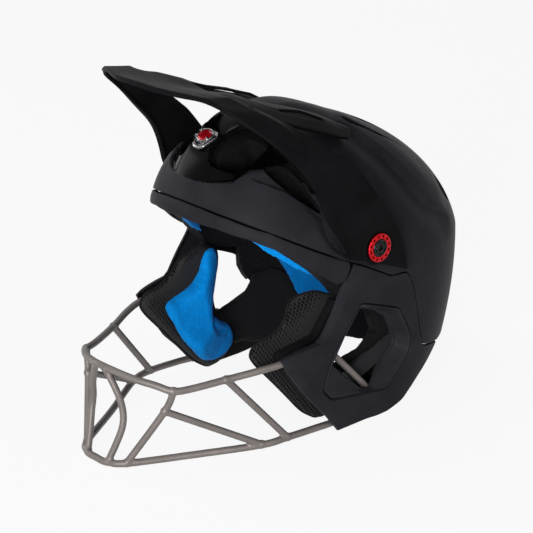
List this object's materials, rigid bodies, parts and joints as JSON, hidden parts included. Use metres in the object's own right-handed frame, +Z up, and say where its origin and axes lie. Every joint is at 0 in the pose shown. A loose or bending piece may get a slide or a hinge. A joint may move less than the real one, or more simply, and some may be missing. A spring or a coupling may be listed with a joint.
{
  "type": "full face bike helmet",
  "caption": "Full face bike helmet with a tilting visor, cheek shells with ear openings, padded liners and a welded metal tube face cage.",
  "frame": {"origin": "on the table under the middle of the helmet's length and width", "axes": "+X rider's left, -Y the way the face looks, +Z up"},
  "size_m": [0.2298, 0.3781, 0.312],
  "materials": {
    "shell_matte": "satin",
    "visor_matte": "satin",
    "bezel_black": "matte",
    "liner_foam": "matte",
    "pad_blue": "matte",
    "pad_mesh": "matte",
    "lining_black": "matte",
    "cage_grey": "matte",
    "ring_red": "satin",
    "screw_black": "gloss",
    "hidden_metal": "satin",
    "badge_red": "gloss",
    "badge_chrome": "polished",
    "webbing": "matte",
    "buckle_black": "satin"
  },
  "bodies": {
    "helmet": {"upper_shell": "shell_matte", "brow_band": "shell_matte", "cheek_shell_left": "shell_matte", "cheek_shell_right": "shell_matte", "ear_bezel_left": "bezel_black", "ear_bezel_right": "bezel_black", "badge_setting": "badge_chrome", "badge_disc": "badge_red", "crown_liner": "liner_foam", "nape_liner": "liner_foam", "cheek_liner_left": "liner_foam", "cheek_liner_right": "liner_foam", "pivot_insert_left": "hidden_metal", "pivot_insert_right": "hidden_metal", "brow_pad": "pad_blue", "crown_pad": "lining_black", "rear_pad": "pad_blue", "cheek_pad_left": "pad_blue", "cheek_pad_right": "pad_blue", "mesh_pad_left": "pad_mesh", "mesh_pad_right": "pad_mesh", "nape_panel": "lining_black", "cage_upper_hoop": "cage_grey", "cage_lower_hoop": "cage_grey", "cage_front_strut_left": "cage_grey", "cage_front_strut_right": "cage_grey", "cage_corner_strut_left": "cage_grey", "cage_corner_strut_right": "cage_grey", "cage_cross_strut_left": "cage_grey", "cage_cross_strut_right": "cage_grey", "cage_side_strut_left": "cage_grey", "cage_side_strut_right": "cage_grey", "cage_rear_strut_left": "cage_grey", "cage_rear_strut_right": "cage_grey", "cage_clamp_left": "buckle_black", "cage_clamp_right": "buckle_black", "clamp_screws": "hidden_metal", "strap_left": "webbing", "strap_right": "webbing", "strap_anchor_left": "buckle_black", "strap_anchor_right": "buckle_black", "buckle_body": "buckle_black", "buckle_tongue": "buckle_black"},
    "visor": {"visor": "visor_matte", "visor_bush_left": "hidden_metal", "visor_bush_right": "hidden_metal"},
    "knob_left": {"visor_screw_left": "screw_black", "visor_ring_left": "ring_red"},
    "knob_right": {"visor_screw_right": "screw_black", "visor_ring_right": "ring_red"},
    "release_button": {"buckle_button": "buckle_black"}
  },
  "joints": [
    {"name": "visor_tilt", "type": "hinge", "parent": "helmet", "child": "visor", "pos_m": [0, 0.0315, 0.157], "axis": [1, 0, 0], "range_deg": [-10, 8]},
    {"name": "knob_left_turn", "type": "hinge", "parent": "helmet", "child": "knob_left", "pos_m": [0.1125, 0.0315, 0.157], "axis": [1, 0, 0], "range_deg": [0, 90]},
    {"name": "knob_right_turn", "type": "hinge", "parent": "helmet", "child": "knob_right", "pos_m": [-0.1125, 0.0315, 0.157], "axis": [-1, 0, 0], "range_deg": [0, 90]},
    {"name": "release_press", "type": "slide", "parent": "helmet", "child": "release_button", "axis": [1, 0, 0], "range_m": [0, 0.0015], "stiffness_N_per_m": 800, "springref_m": -0.0005}
  ]
}
